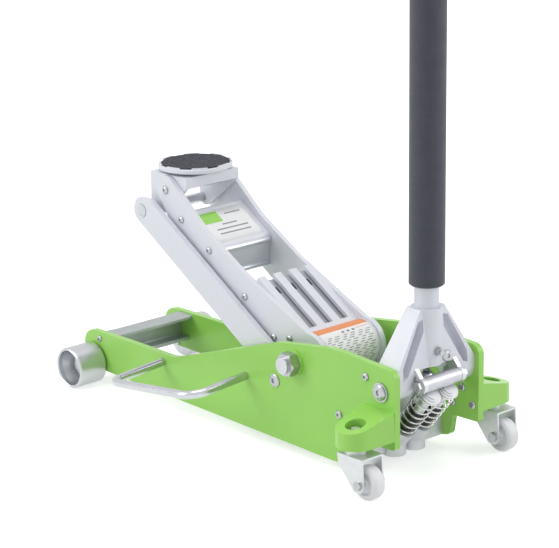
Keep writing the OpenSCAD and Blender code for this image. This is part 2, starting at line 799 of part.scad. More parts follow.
// ---------- saddle head ----------
module cheek_outline() {
  polygon(round_poly([
    [head_front, head_top - 4, 0], [head_front + 1, pin_z - 4, 6], [pin_x + 2, pin_z - cheek_r, 14],
    [pin_x - cheek_r - 1, pin_z - cheek_r / 2, 10], [saddle_x - cheek_r + 1, saddle_z - cheek_r, 12],
    [head_rear, head_low - 4, 4], [head_rear, head_top - 4, 0]
  ], 5));
}

module saddle_bracket() {
  color(CAST) difference() {
    union() {
      both_sides() along_y(cheek_in, head_out) cheek_outline();
      level(saddle_x, saddle_z) {
        translate([head_rear, -head_out, head_low])
          cube([head_front - head_rear, 2 * head_out, bracket_top_t]);
        translate([head_rear, -head_out, head_low - 6]) cube([7, 2 * head_out, 8]);
        translate([saddle_x, 0, head_low]) cylinder(r = spindle_r + 9, h = dish_z - head_low - GAP);
      }
    }
    level(saddle_x, saddle_z) translate([saddle_x, 0, head_low - 20])
      cylinder(r = spindle_r + FIT, h = 60);
    rod_y(saddle_x, saddle_z, saddle_rod_d / 2 + FIT, -arm_w, arm_w);
    rod_y(pin_x, pin_z, link_pin_d / 2 + SEAT, -arm_w, arm_w);
  }
}

module link_pins() {
  color(ZINC) both_sides() {
    rod_y(pin_x, pin_z, link_pin_d / 2, cheek_in - 3, link_out - 3 + EPS);
    rod_y(pin_x, pin_z, link_pin_d / 2 + 3, link_out - 3 + GAP, link_out + 0.8);
    rod_y(pin_x, pin_z, link_pin_d / 2, link_out - 4, link_out);
    rod_y(pin_x, pin_z, link_pin_d / 2 + 2.5, head_out, link_in - GAP);
  }
}

module saddle_clip() {
  z = head_low - GAP - clip_t;
  color(STEEL) level(saddle_x, saddle_z) difference() {
    translate([saddle_x, 0, z]) cylinder(r = spindle_r + 5, h = clip_t);
    translate([saddle_x, 0, z - 1]) cylinder(r = spindle_r - 1.6, h = clip_t + 2);
    translate([saddle_x, -spindle_r * 0.6, z - 1]) cube([spindle_r * 2, spindle_r * 1.2, clip_t + 2]);
  }
}

module saddle_dish() {
  floor_t = 4;
  tab_n = 8;
  wall = dish_r - pad_r;
  color(CAST) level(saddle_x, saddle_z) translate([saddle_x, 0, dish_z]) difference() {
    union() {
      rotate_extrude() polygon([
        [0, 0], [dish_r - 3, 0], [dish_r, 2], [dish_r, dish_h - 3], [dish_r - 1, dish_h - 2],
        [pad_r + 0.3, dish_h - 2], [pad_r + 0.3, floor_t], [0, floor_t]
      ]);
      for (k = [0 : tab_n - 1]) rotate([0, 0, k * 360 / tab_n]) rotate_extrude(angle = 200 / tab_n)
        translate([pad_r + 0.8, dish_h - 3]) square([wall - 1.6, 3]);
      translate([0, 0, spindle_low - dish_z]) cylinder(r = spindle_r, h = dish_z - spindle_low + 1);
    }
    // groove for the retaining clip
    translate([0, 0, head_low - GAP - clip_t - SEAT - dish_z]) difference() {
      cylinder(r = spindle_r + 1, h = clip_t + 2 * SEAT);
      translate([0, 0, -1]) cylinder(r = spindle_r - 1.6 - SEAT, h = clip_t + 3);
    }
  }
}

module saddle_pad() {
  color(RUBBER) level(saddle_x, saddle_z) translate([saddle_x, 0, dish_z + 4]) rotate_extrude()
    polygon([[0, 0], [pad_r, 0], [pad_r, dish_h - 5.5], [pad_r - 1.5, dish_h - 4.2], [0, dish_h - 4.2]]);
}

// ---------- links ----------
module link() {
  top = link_w - link_r;
  translate([link_x, 0, link_z]) rotate([0, -arm_angle, 0]) difference() {
    along_y(link_in, link_out) polygon(round_poly([
      [arm_len + link_r, -link_r, link_r - 0.5], [arm_len + link_r, link_r * 0.6, link_r * 0.6],
      [arm_len - 6, top, 20], [-link_r * 0.7, top, 16], [-link_r, -link_r, link_r - 0.5]
    ], 12));
    rod_y(0, 0, link_pin_d / 2 + FIT, link_in - 1, link_out + 1);
    rod_y(arm_len, 0, link_pin_d / 2 + FIT, link_in - 1, link_out + 1);
    rod_y(arm_len, 0, link_pin_d / 2 + 3 + GAP, link_out - 3, link_out + 1);
  }
}

module link_left() { color(CAST) link(); }
module link_right() { color(CAST) mirror([0, 1, 0]) link(); }

// ---------- handle yoke ----------
module yoke_outline() {
  top = collar_z;
  polygon([
    [-neck, top], [-leg_out, shoulder_z], [-leg_out, yoke_z], [-leg_in, yoke_z],
    [-leg_in, bell_low - 8], [-leg_in + 8, bell_low], [leg_in - 8, bell_low], [leg_in, bell_low - 8],
    [leg_in, yoke_z], [leg_out, yoke_z], [leg_out, shoulder_z], [neck, top]
  ]);
}

// Recess between the outer flange of a leg and the collar.
module yoke_pocket() {
  polygon([
    [leg_out - 14, yoke_z + 13], [leg_out - 14.5, yoke_z + 31], [neck + 5, collar_z - 15],
    [neck - 4, collar_z - 13], [neck - 4, collar_z - 31], [leg_out - 23, yoke_z + 17]
  ]);
}

// Frame on the leaning rear face of the yoke: X out of the metal is negative, Z runs up the face.
module on_yoke_rear() {
  translate([leg_rear, 0, shoulder_z]) rotate([0, flange_lean, 0]) children();
}

module handle_yoke() {
  web = 8;
  mid = (leg_front + leg_rear) / 2;
  color(CAST) difference() {
    union() {
      difference() {
        along_x(leg_rear, leg_front) yoke_outline();
        both_sides() {
          along_x(leg_rear - 1, mid - web / 2) yoke_pocket();
          along_x(mid + web / 2, leg_front + 1) yoke_pocket();
        }
        on_yoke_rear() translate([-40, -plate_out, 0]) cube([40, 2 * plate_out, 2 * yoke_h]);
        translate([leg_front, -plate_out, shoulder_z]) rotate([0, -flange_lean, 0])
          cube([40, 2 * plate_out, 2 * yoke_h]);
      }
      translate([yoke_x, 0, bell_low]) cylinder(r = collar_r, h = collar_z - bell_low);
      both_sides() rod_y(yoke_x, yoke_z, leg_r, leg_in, leg_out);
    }
    translate([yoke_x, 0, socket_floor]) cylinder(r = socket_bore_r, h = 200);
    translate([yoke_x, 0, bell_low - 1]) cylinder(r = 12, h = 60);
    rod_y(yoke_x, yoke_z, yoke_bolt_r + FIT, -plate_out, plate_out);
    // slots for the roller's straps
    both_sides() along_y(roller_half + SEAT, roller_half + strap_t + 2 * SEAT) strap_outline(SEAT);
    translate([leg_rear - 40, 0, lock_z]) rotate([0, 90, 0]) cylinder(r = screw_shank_r + SEAT, h = 60);
    on_yoke_rear() translate([-1, -dome_at[0], dome_at[1]]) rotate([0, 90, 0])
      cylinder(r = screw_shank_r + SEAT, h = 16);
  }
}

module strap_outline(grow = 0) {
  r = strap_r + grow;
  d = unit([strap_up[0] - roller_x, strap_up[1] - roller_z]);
  s = [-d[1], d[0]] * r * 0.75;
  union() {
    translate([roller_x, roller_z]) circle(r = r);
    polygon([[roller_x + s[0], roller_z + s[1]], [roller_x - s[0], roller_z - s[1]],
             [strap_up[0] - s[0], strap_up[1] - s[1]], [strap_up[0] + s[0], strap_up[1] + s[1]]]);
  }
}

module roller_straps() {
  color(ZINC) both_sides() difference() {
    along_y(roller_half + 2 * SEAT, roller_half + strap_t) strap_outline();
    rod_y(roller_x, roller_z, bolt_r + SEAT, 0, plate_in);
  }
}

module roller_bolt() {
  reach = roller_half + strap_t;
  color(ZINC) union() {
    rod_y(roller_x, roller_z, bolt_r, -reach - 8, reach + 1);
    nut_y(roller_x, roller_z, reach + SEAT, 8, 6.5, EPS);
    mirror([0, 1, 0]) nut_y(roller_x, roller_z, reach + SEAT, 8, 6.5, bolt_r - EPS);
  }
}

module pump_roller() {
  color(STEEL) difference() {
    rod_y(roller_x, roller_z, roller_r, -roller_half + GAP, roller_half - GAP);
    rod_y(roller_x, roller_z, bolt_r + FIT, -plate_in, plate_in);
  }
}

module lock_screw() {
  color(ZINC) {
    translate([0, 0, lock_z]) {
      rod_x(0, screw_shank_r, yoke_x - collar_r - 9, yoke_x - socket_bore_r - 1.5);
      translate([yoke_x - collar_r - 7, 0, 0]) rotate([0, 90, 0]) cylinder(r = 7, h = 6, $fn = 6);
    }
    on_yoke_rear() translate([0, -dome_at[0], dome_at[1]]) rotate([0, -90, 0])
      dome_screw(14, dome_r, screw_shank_r);
  }
}

// ---------- handle ----------
module tube(z0, z1, r, t) {
  translate([yoke_x, 0, z0]) difference() {
    cylinder(r = r, h = z1 - z0);
    translate([0, 0, -1]) cylinder(r = r - t, h = z1 - z0 + 2);
  }
}

module handle_lower_tube() { color(CAST) tube(tube_low, tube_top, tube_d / 2, tube_t); }

module foam_sleeve() {
  r = foam_d / 2;
  color(FOAM) translate([yoke_x, 0, foam_low]) difference() {
    rotate_extrude() polygon([[0, 0], [r - 2, 0], [r, 2], [r, foam_l - 2], [r - 2, foam_l], [0, foam_l]]);
    translate([0, 0, -1]) cylinder(r = tube_d / 2 + SEAT, h = foam_l + 2);
  }
}

module handle_upper_tube() {
  r = tube_d / 2 - tube_t - SEAT;
  color(CAST) union() {
    tube(upper_low, upper_top, r, tube_t);
    tube(tube_top + SEAT, tube_top + 12, tube_d / 2, tube_d / 2 - r + EPS);
  }
}

module handle_grip() {
  r = tube_d / 2 - tube_t - SEAT;
  low = upper_top - grip_l;
  ring = r + SEAT + grip_t;
  color(RUBBER) translate([yoke_x, 0, low]) difference() {
    union() {
      cylinder(r = ring, h = grip_l);
      cylinder(r = ring + 3, h = 6);
      for (k = [1 : 7]) translate([0, 0, k * grip_l / 8]) cylinder(r = ring + 1.2, h = 6);
    }
    translate([0, 0, -1]) cylinder(r = r + SEAT, h = grip_l + 2);
  }
}

module handle_cap() {
  r = tube_d / 2 - tube_t - SEAT;
  color(RUBBER) translate([yoke_x, 0, upper_top]) union() {
    rotate_extrude() polygon([[0, 0], [r + 3, 0], [r + 3, 3], [r, 6], [0, 6]]);
    translate([0, 0, -15]) cylinder(r = r - tube_t - SEAT, h = 16);
  }
}

module release_rod() {
  cup_r = ball_r + 0.4;
  top = tube_low + 30;
  color(STEEL) translate([yoke_x, 0, 0]) difference() {
    union() {
      translate([0, 0, yoke_z + ball_r]) cylinder(r = 5, h = top - yoke_z - ball_r);
      intersection() {
        translate([0, 0, yoke_z]) sphere(r = cup_r + cup_t);
        translate([0, 0, yoke_z + 2]) cylinder(r = 30, h = 30);
      }
      translate([0, 0, tube_low + 8]) cylinder(r = tube_d / 2 - tube_t - SEAT, h = 6);
    }
    translate([0, 0, yoke_z]) sphere(r = cup_r);
  }
}

module valve_stem() {
  color(STEEL) union() {
    in_valve() cylinder(r = valve_r, h = valve_len + 14);
    translate([yoke_x, 0, yoke_z]) sphere(r = ball_r);
  }
}

module plunger() {
  rotate([0, 90, 0]) union() {
    cylinder(r = plunger_d / 2, h = boss_s);
    cylinder(r = cap_r * 0.72, h = 2);
    translate([0, 0, 1.6]) cylinder(r = cap_r, h = 2);
    translate([0, 0, 3.2]) cylinder(r = spring_r, h = cap_t - 3.2);
  }
}

module plunger_left() { color(ZINC) in_pump(pump_pitch / 2) plunger(); }
module plunger_right() { color(ZINC) in_pump(-pump_pitch / 2) plunger(); }

// Coil along +Z: a hexagonal wire swept round the axis.
module coil(r, wire, length, turns, steps = 18) {
  sides = 6;
  n = ceil(turns * steps);
  points = [
    for (i = [0 : n], j = [0 : sides - 1])
      let (t = 360 * turns * i / n, a = 360 * j / sides,
           q = r + wire * cos(a) / 2)
      [q * cos(t), q * sin(t), wire / 2 + (length - wire) * i / n + wire * sin(a) / 2]
  ];
  walls = [
    for (i = [0 : n - 1], j = [0 : sides - 1])
      let (k = (j + 1) % sides, a = i * sides)
      each [[a + j, a + sides + j, a + sides + k], [a + j, a + sides + k, a + k]]
  ];
  ends = [
    [for (j = [0 : sides - 1]) j],
    [for (j = [sides - 1 : -1 : 0]) n * sides + j]
  ];
  polyhedron(points, concat(walls, ends));
}

module pump_springs() {
  color(NYLON) for (s = [-1, 1]) in_pump(s * pump_pitch / 2) rotate([0, 90, 0])
    translate([0, 0, cap_t + GAP]) coil(spring_r - wire_d / 2, wire_d, spring_l - 2 * GAP, spring_turns);
}

// ---------- wheels ----------
module front_wheel() {
  r = wheel_r;
  dish = r - wheel_rim;
  color(CAST) translate([axle_x, wheel_in, wheel_r]) rotate([-90, 0, 0]) rotate_extrude() polygon([
    [axle_d / 2 + FIT, 0], [r - 4, 0], [r - 1.5, 0.8], [r, 3], [r, wheel_w - 3], [r - 1.2, wheel_w - 0.8],
    [r - 2.5, wheel_w], [dish, wheel_w - 1.5], [dish - 1, wheel_w - 8], [hub_r + 8, wheel_web + 6],
    [hub_r + 3, wheel_web], [axle_d / 2 + FIT, wheel_web]
  ]);
}

module front_wheel_left() { front_wheel(); }
module front_wheel_right() { mirror([0, 1, 0]) front_wheel(); }

// Frame of a caster: level, with the swivel's axis on Z and its axle at the origin's height.
module at_swivel() {
  translate([swivel_x, caster_y, 0]) children();
}

module caster_fork() {
  half = fork_w / 2;
  top = swivel_z - fork_h;
  swing = caster_trail + 8;
  color(ZINC) at_swivel() difference() {
    union() {
      translate([-swing, -half, top - fork_t]) cube([swing + 17, fork_w, fork_t]);
      for (s = [-1, 1]) along_y(s > 0 ? half - fork_t : -half, s > 0 ? half : -half + fork_t)
        polygon(round_poly([
          [17, top, 2], [-swing, top, 2], [-swing - 1, caster_r + 16, 20],
          [-caster_trail - 11, caster_r - 10, 10], [-caster_trail + 9, caster_r - 12, 10],
          [15, top - 14, 8]
        ], 5));
      translate([0, 0, top]) cylinder(r = race_r, h = fork_h - GAP);
      translate([0, 0, top]) cylinder(r = stem_r, h = fork_h + counterbore_h + 11);
    }
    rod_y(-caster_trail, caster_r, 4 + SEAT, -half - 1, half + 1);
  }
}

module caster_fork_left() { caster_fork(); }
module caster_fork_right() { mirror([0, 1, 0]) caster_fork(); }

module caster_wheel() {
  h = caster_w / 2;
  r = caster_r;
  color(NYLON) at_swivel() translate([-caster_trail, 0, r]) rotate([-90, 0, 0])
    rotate_extrude() polygon([
      [4 + FIT, -h - 2], [8, -h - 2], [9, -h + 2], [r * 0.62, -h + 3.5], [r * 0.72, -h], [r - 4, -h],
      [r - 1, -h + 2.5], [r, -h + 6], [r, h - 6], [r - 1, h - 2.5], [r - 4, h], [r * 0.72, h],
      [r * 0.62, h - 3.5], [9, h - 2], [8, h + 2], [4 + FIT, h + 2]
    ]);
}

module caster_wheel_left() { caster_wheel(); }
module caster_wheel_right() { mirror([0, 1, 0]) caster_wheel(); }

// Axle bolt, and the nut on the swivel stem.
module caster_axle() {
  half = fork_w / 2;
  color(ZINC) at_swivel() translate([0, 0, swivel_z + counterbore_h + GAP]) difference() {
    cylinder(r = 10, h = 9, $fn = 6);
    translate([0, 0, -1]) cylinder(r = stem_r + SEAT, h = 12);
  }
  color(STEEL) at_swivel() translate([-caster_trail, 0, caster_r]) rotate([-90, 0, 0]) union() {
    translate([0, 0, -half - 1]) cylinder(r = 4, h = fork_w + 2);
    translate([0, 0, half + SEAT]) cylinder(r = 7, h = 4, $fn = 6);
    translate([0, 0, -half - 4]) cylinder(r = 7, h = 4 - SEAT);
  }
}

module caster_axle_left() { caster_axle(); }
module caster_axle_right() { mirror([0, 1, 0]) caster_axle(); }

// ---------- one line per node ----------
raked() side_plate_left();
raked() side_plate_right();
raked() front_cross_member();
front_axle();
axle_nuts();
raked() carry_handle_left();
raked() carry_handle_right();
raked() caster_bracket_left();
raked() caster_bracket_right();
raked() frame_screws();
raked() pump_block();
raked() pump_barrels();
raked() lift_cylinder();
raked() gland_nut();
raked() pivot_shaft();
raked() pivot_spacers();
raked() pivot_nuts();
raked() link_bolts();
raked() yoke_bolts();
raked() arm_plate_left();
raked() arm_plate_right();
raked() arm_upper_box();
raked() arm_rear_cover();
raked() arm_screws();
raked() arm_pivot_tube();
raked() horn_pin();
raked() horn_roller();
raked() saddle_rod();
raked() saddle_bracket();
raked() link_pins();
raked() saddle_clip();
raked() saddle_dish();
raked() saddle_pad();
raked() link_left();
raked() link_right();
raked() ram_rod();
raked() handle_yoke();
raked() roller_straps();
raked() roller_bolt();
raked() lock_screw();
raked() pump_roller();
raked() handle_lower_tube();
raked() foam_sleeve();
raked() handle_upper_tube();
raked() handle_grip();
raked() handle_cap();
raked() release_rod();
raked() valve_stem();
raked() plunger_left();
raked() plunger_right();
raked() pump_springs();
front_wheel_left();
front_wheel_right();
caster_fork_left();
caster_fork_right();
caster_wheel_left();
caster_wheel_right();
caster_axle_left();
caster_axle_right();
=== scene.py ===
"""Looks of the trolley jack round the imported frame: camera, light, materials, labels and small detail."""
import json
import math

import bpy
from mathutils import Matrix, Vector


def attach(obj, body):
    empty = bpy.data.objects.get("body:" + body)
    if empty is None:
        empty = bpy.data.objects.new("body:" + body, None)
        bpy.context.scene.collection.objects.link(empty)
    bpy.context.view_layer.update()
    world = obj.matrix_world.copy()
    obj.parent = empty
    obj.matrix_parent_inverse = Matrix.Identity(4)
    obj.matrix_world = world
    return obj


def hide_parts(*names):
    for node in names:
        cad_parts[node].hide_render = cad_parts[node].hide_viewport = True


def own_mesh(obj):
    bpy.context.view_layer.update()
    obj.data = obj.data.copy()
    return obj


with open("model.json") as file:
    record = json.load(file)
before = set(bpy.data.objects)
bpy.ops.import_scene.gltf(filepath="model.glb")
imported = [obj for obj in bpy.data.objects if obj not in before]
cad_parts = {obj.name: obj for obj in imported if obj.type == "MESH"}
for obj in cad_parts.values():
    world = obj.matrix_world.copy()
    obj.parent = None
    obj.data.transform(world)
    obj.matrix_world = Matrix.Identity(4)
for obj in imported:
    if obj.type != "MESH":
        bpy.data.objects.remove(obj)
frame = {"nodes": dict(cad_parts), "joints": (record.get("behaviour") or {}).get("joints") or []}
NODES = frame["nodes"]
JOINTS = {joint["name"]: joint for joint in frame["joints"]}
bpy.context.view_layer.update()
MM = 0.001


# ---------- places read from the frame ----------
def joint_place(name):
    return Vector(JOINTS[name]["pos_m"])


ARM_PIVOT = joint_place("lift")
SADDLE_PIVOT = joint_place("head_level")
ARM_DIR = (SADDLE_PIVOT - ARM_PIVOT).normalized()
ARM_UP = Vector((-ARM_DIR.z, 0, ARM_DIR.x))


def in_arm(a, y, n):
    """A point a mm along the arm, y mm to the left and n mm over its centre line, in metres."""
    return ARM_PIVOT + ARM_DIR * a * MM + Vector((0, y * MM, 0)) + ARM_UP * n * MM


# ---------- camera ----------
RAKE = math.radians(1.16)
AZIMUTH = math.radians(228.85)
PITCH = math.radians(16.6)
ROLL = math.radians(-0.86)
SENSOR_MM = 36
LENS_MM = 137.41
CLIP_END = 60
CAMERA_AT = Vector((-2.3159, 1.9920, 1.0831))


def make_camera():
    """The main view, from behind and to the left, leaned with the jack's nose-up rake."""
    right = Vector((math.cos(AZIMUTH), math.sin(AZIMUTH), 0))
    level = math.cos(PITCH)
    back = Vector((math.sin(AZIMUTH) * level, -math.cos(AZIMUTH) * level, math.sin(PITCH)))
    up = back.cross(right)
    lean = Matrix.Rotation(-RAKE, 3, "Y")
    axes = [
        right * math.cos(ROLL) + up * math.sin(ROLL),
        up * math.cos(ROLL) - right * math.sin(ROLL),
        back,
    ]
    place = Matrix.Identity(4)
    for i, axis in enumerate(axes):
        place.col[i].xyz = lean @ axis
    place.translation = CAMERA_AT
    data = bpy.data.cameras.new("camera")
    data.sensor_width = SENSOR_MM
    data.lens = LENS_MM
    data.clip_end = CLIP_END
    camera = bpy.data.objects.new("camera", data)
    camera.matrix_world = place
    bpy.context.scene.collection.objects.link(camera)
    bpy.context.scene.camera = camera


# ---------- light and floor ----------
SKY = 0.46           # strength of the soft surrounding light
FLOOR_GLOW = 0.55    # lifts the lit floor to white for the camera
GLOW_FAR = 1.0       # the same far from the part, where the lamps' light has fallen off
GLOW_RISES = (1.0, 2.4)    # metres from the part between which it goes from one to the other
FLOOR_HALF = 12      # metres from the part to the floor's edge
LAMPS_AIM = Vector((0, 0, 0.25))
LAMPS = [("left", (1.7, 2.5, 1.9), 2.0, 39), ("right", (-2.3, -1.9, 1.7), 2.0, 26),
         ("top", (-0.2, 0.2, 3.2), 2.4, 31)]    # name, place, size, power


def area_light(name, at, size, power):
    """A square lamp of that size in metres and power in watts, turned to the part."""
    data = bpy.data.lights.new(name, "AREA")
    data.shape = "SQUARE"
    data.size = size
    data.energy = power
    lamp = bpy.data.objects.new(name, data)
    lamp.location = at
    lamp.rotation_euler = (Vector(at) - LAMPS_AIM).to_track_quat("Z", "Y").to_euler()
    bpy.context.scene.collection.objects.link(lamp)


def seen_directly(nodes, links):
    """1 for camera, glossy and transmission rays, which see the plain background; 0 for the rest."""
    path = nodes.new("ShaderNodeLightPath")
    value = path.outputs["Is Camera Ray"]
    for ray in ("Is Glossy Ray", "Is Transmission Ray"):
        either = nodes.new("ShaderNodeMath")
        either.operation = "MAXIMUM"
        links.new(value, either.inputs[0])
        links.new(path.outputs[ray], either.inputs[1])
        value = either.outputs[0]
    return value


def make_world():
    world = bpy.data.worlds.new("studio")
    bpy.context.scene.world = world
    world.use_nodes = True
    nodes, links = world.node_tree.nodes, world.node_tree.links
    nodes.clear()
    out = nodes.new("ShaderNodeOutputWorld")
    soft = nodes.new("ShaderNodeBackground")
    soft.inputs["Color"].default_value = (0.97, 0.985, 1, 1)
    soft.inputs["Strength"].default_value = SKY
    white = nodes.new("ShaderNodeBackground")
    white.inputs["Color"].default_value = (1, 1, 1, 1)
    mix = nodes.new("ShaderNodeMixShader")
    links.new(seen_directly(nodes, links), mix.inputs[0])
    links.new(soft.outputs[0], mix.inputs[1])
    links.new(white.outputs[0], mix.inputs[2])
    links.new(mix.outputs[0], out.inputs[0])


def make_floor():
    """A pale floor that the camera sees as white where no shadow falls."""
    mesh = bpy.data.meshes.new("floor")
    corners = [(x * FLOOR_HALF, y * FLOOR_HALF, 0) for x, y in [(-1, -1), (1, -1), (1, 1), (-1, 1)]]
    mesh.from_pydata(corners, [], [(0, 1, 2, 3)])
    floor = bpy.data.objects.new("floor", mesh)
    bpy.context.scene.collection.objects.link(floor)
    material = bpy.data.materials.new("floor")
    material.use_nodes = True
    nodes, links = material.node_tree.nodes, material.node_tree.links
    nodes.clear()
    out = nodes.new("ShaderNodeOutputMaterial")
    matt = nodes.new("ShaderNodeBsdfDiffuse")
    matt.inputs["Color"].default_value = (0.8, 0.8, 0.8, 1)
    glow = nodes.new("ShaderNodeEmission")
    place = nodes.new("ShaderNodeNewGeometry")
    reach = nodes.new("ShaderNodeVectorMath")
    reach.operation = "LENGTH"
    fade = nodes.new("ShaderNodeMapRange")
    fade.inputs["From Min"].default_value = GLOW_RISES[0]
    fade.inputs["From Max"].default_value = GLOW_RISES[1]
    fade.inputs["To Min"].default_value = FLOOR_GLOW
    fade.inputs["To Max"].default_value = GLOW_FAR
    links.new(place.outputs["Position"], reach.inputs[0])
    links.new(reach.outputs["Value"], fade.inputs["Value"])
    lift = nodes.new("ShaderNodeMath")
    lift.operation = "MULTIPLY"
    links.new(fade.outputs[0], lift.inputs[1])
    both = nodes.new("ShaderNodeAddShader")
    links.new(seen_directly(nodes, links), lift.inputs[0])
    links.new(lift.outputs[0], glow.inputs["Strength"])
    links.new(matt.outputs[0], both.inputs[0])
    links.new(glow.outputs[0], both.inputs[1])
    links.new(both.outputs[0], out.inputs[0])
    mesh.materials.append(material)


# ---------- materials ----------
class Maker:
    """A material whose colour, roughness and bump come from noise in the object's own coordinates."""

    def __init__(self, name, rgb, rough, metallic=0.0):
        self.material = bpy.data.materials.new(name)
        self.material.use_nodes = True
        self.nodes = self.material.node_tree.nodes
        self.links = self.material.node_tree.links
        self.bsdf = self.nodes["Principled BSDF"]
        self.bsdf.inputs["Base Color"].default_value = (*rgb, 1)
        self.bsdf.inputs["Roughness"].default_value = rough
        self.bsdf.inputs["Metallic"].default_value = metallic
        self.rgb, self.rough = rgb, rough
        self.coords = self.nodes.new("ShaderNodeTexCoord")
        self.normal = None

    def set(self, socket, value):
        self.bsdf.inputs[socket].default_value = value
        return self

    def noise(self, scale, detail=4.0, stretch=(1, 1, 1)):
        mapping = self.nodes.new("ShaderNodeMapping")
        mapping.inputs["Scale"].default_value = stretch
        self.links.new(self.coords.outputs["Object"], mapping.inputs["Vector"])
        noise = self.nodes.new("ShaderNodeTexNoise")
        noise.inputs["Scale"].default_value = scale
        noise.inputs["Detail"].default_value = detail
        self.links.new(mapping.outputs[0], noise.inputs["Vector"])
        return noise.outputs["Fac"]

    def cells(self, scale):
        cell = self.nodes.new("ShaderNodeTexVoronoi")
        cell.inputs["Scale"].default_value = scale
        self.links.new(self.coords.outputs["Object"], cell.inputs["Vector"])
        return cell.outputs["Distance"]

    def ramp(self, fac, low, high):
        """Maps the middle of fac's range to low..high."""
        ranged = self.nodes.new("ShaderNodeMapRange")
        ranged.inputs["From Min"].default_value = 0.3
        ranged.inputs["From Max"].default_value = 0.7
        ranged.inputs["To Min"].default_value = low
        ranged.inputs["To Max"].default_value = high
        self.links.new(fac, ranged.inputs["Value"])
        return ranged.outputs[0]

    def tint(self, fac, dark, light):
        """Colour runs from dark times to light times the base along fac."""
        mix = self.nodes.new("ShaderNodeMix")
        mix.data_type = "RGBA"
        first, second = mix.inputs[6], mix.inputs[7]    # the node's colour sockets A and B
        first.default_value = (*[min(1, c * dark) for c in self.rgb], 1)
        second.default_value = (*[min(1, c * light) for c in self.rgb], 1)
        self.links.new(self.ramp(fac, 0, 1), mix.inputs[0])
        self.links.new(mix.outputs[2], self.bsdf.inputs["Base Color"])
        return self

    def gloss(self, fac, spread):
        """Roughness runs spread to either side of the base along fac."""
        rough = self.ramp(fac, self.rough - spread, self.rough + spread)
        self.links.new(rough, self.bsdf.inputs["Roughness"])
        return self

    def bump(self, fac, height_mm, strength=1.0):
        """Raises the surface along fac, over any bump that is there already."""
        bump = self.nodes.new("ShaderNodeBump")
        bump.inputs["Strength"].default_value = strength
        bump.inputs["Distance"].default_value = height_mm * MM
        self.links.new(fac, bump.inputs["Height"])
        if self.normal is not None:
            self.links.new(self.normal, bump.inputs["Normal"])
        self.normal = bump.outputs[0]
        self.links.new(self.normal, self.bsdf.inputs["Normal"])
        return self


def green_paint():
    m = Maker("green_paint", (0.35, 0.73, 0.12), 0.34)
    m.set("Coat Weight", 0.2).set("Coat Roughness", 0.15).set("Specular IOR Level", 0.45)
    m.tint(m.noise(9), 0.97, 1.03).gloss(m.noise(40), 0.04)
    m.bump(m.noise(900, 2), 0.05, 0.35)
    return m.material


def silver_paint():
    m = Maker("silver_paint", (0.78, 0.79, 0.85), 0.46, 0.15)
    m.set("Specular IOR Level", 0.25)
    m.tint(m.noise(1400, 3), 0.95, 1.04).gloss(m.noise(30), 0.05)
    m.bump(m.noise(1100, 2), 0.04, 0.35)
    return m.material


def cast_aluminium():
    m = Maker("cast_aluminium", (0.66, 0.67, 0.70), 0.48, 0.55)
    m.tint(m.noise(60, 6), 0.9, 1.05).gloss(m.noise(80), 0.06)
    m.bump(m.noise(500, 5), 0.12, 0.5)
    return m.material


def turned_aluminium():
    """Fine tool marks that run round the wheel's axle."""
    m = Maker("turned_aluminium", (0.60, 0.61, 0.64), 0.34, 0.85)
    m.tint(m.noise(300, 4, (0.2, 9, 0.2)), 0.92, 1.05).gloss(m.noise(120, 4, (0.2, 6, 0.2)), 0.06)
    m.bump(m.noise(700, 3, (0.15, 8, 0.15)), 0.05, 0.4)
    return m.material


def dull_steel():
    """Folded steel section, brushed and dulled."""
    m = Maker("dull_steel", (0.46, 0.49, 0.50), 0.42, 0.45)
    m.tint(m.noise(50, 5), 0.92, 1.05).gloss(m.noise(160, 4), 0.06)
    m.bump(m.noise(900, 3), 0.03, 0.3)
    return m.material


def bright_steel():
    m = Maker("bright_steel", (0.56, 0.57, 0.60), 0.22, 1.0)
    m.tint(m.noise(50, 5), 0.94, 1.04).gloss(m.noise(200, 4), 0.05)
    m.bump(m.noise(900, 3), 0.03, 0.3)
    return m.material


def zinc():
    """Pressed sheet with a light zinc finish."""
    m = Maker("zinc", (0.72, 0.73, 0.75), 0.36, 0.6)
    m.tint(m.noise(120, 4), 0.96, 1.03).gloss(m.noise(90), 0.05)
    m.bump(m.noise(1000, 2), 0.03, 0.3)
    return m.material


def screw_steel():
    """Screws, nuts and pins."""
    m = Maker("screw_steel", (0.47, 0.48, 0.50), 0.27, 0.95)
    m.tint(m.noise(160, 4), 0.94, 1.04).gloss(m.noise(90), 0.05)
    m.bump(m.noise(1000, 2), 0.03, 0.3)
    return m.material


def satin_steel():
    """Ground steel without a mirror's shine, as on the pump's roller."""
    m = Maker("satin_steel", (0.56, 0.57, 0.60), 0.36, 0.8)
    m.tint(m.noise(90, 4), 0.94, 1.04).gloss(m.noise(160), 0.05)
    m.bump(m.noise(900, 2), 0.03, 0.3)
    return m.material


def spring_wire():
    m = Maker("spring_wire", (0.86, 0.86, 0.85), 0.25, 0.6)
    m.tint(m.noise(80), 0.94, 1.04).gloss(m.noise(300), 0.05)
    return m.material


def black_steel():
    m = Maker("black_steel", (0.012, 0.013, 0.014), 0.33, 0.0)
    m.tint(m.noise(60), 0.8, 1.3).gloss(m.noise(50), 0.08)
    m.bump(m.noise(600), 0.05, 0.4)
    return m.material


def pad_rubber():
    """Black rubber with a pebbled face."""
    m = Maker("pad_rubber", (0.026, 0.028, 0.040), 0.66)
    m.set("Specular IOR Level", 0.25)
    m.tint(m.cells(190), 0.6, 1.6)
    m.bump(m.cells(190), 0.9, 0.9).bump(m.noise(1500), 0.05, 0.4)
    return m.material


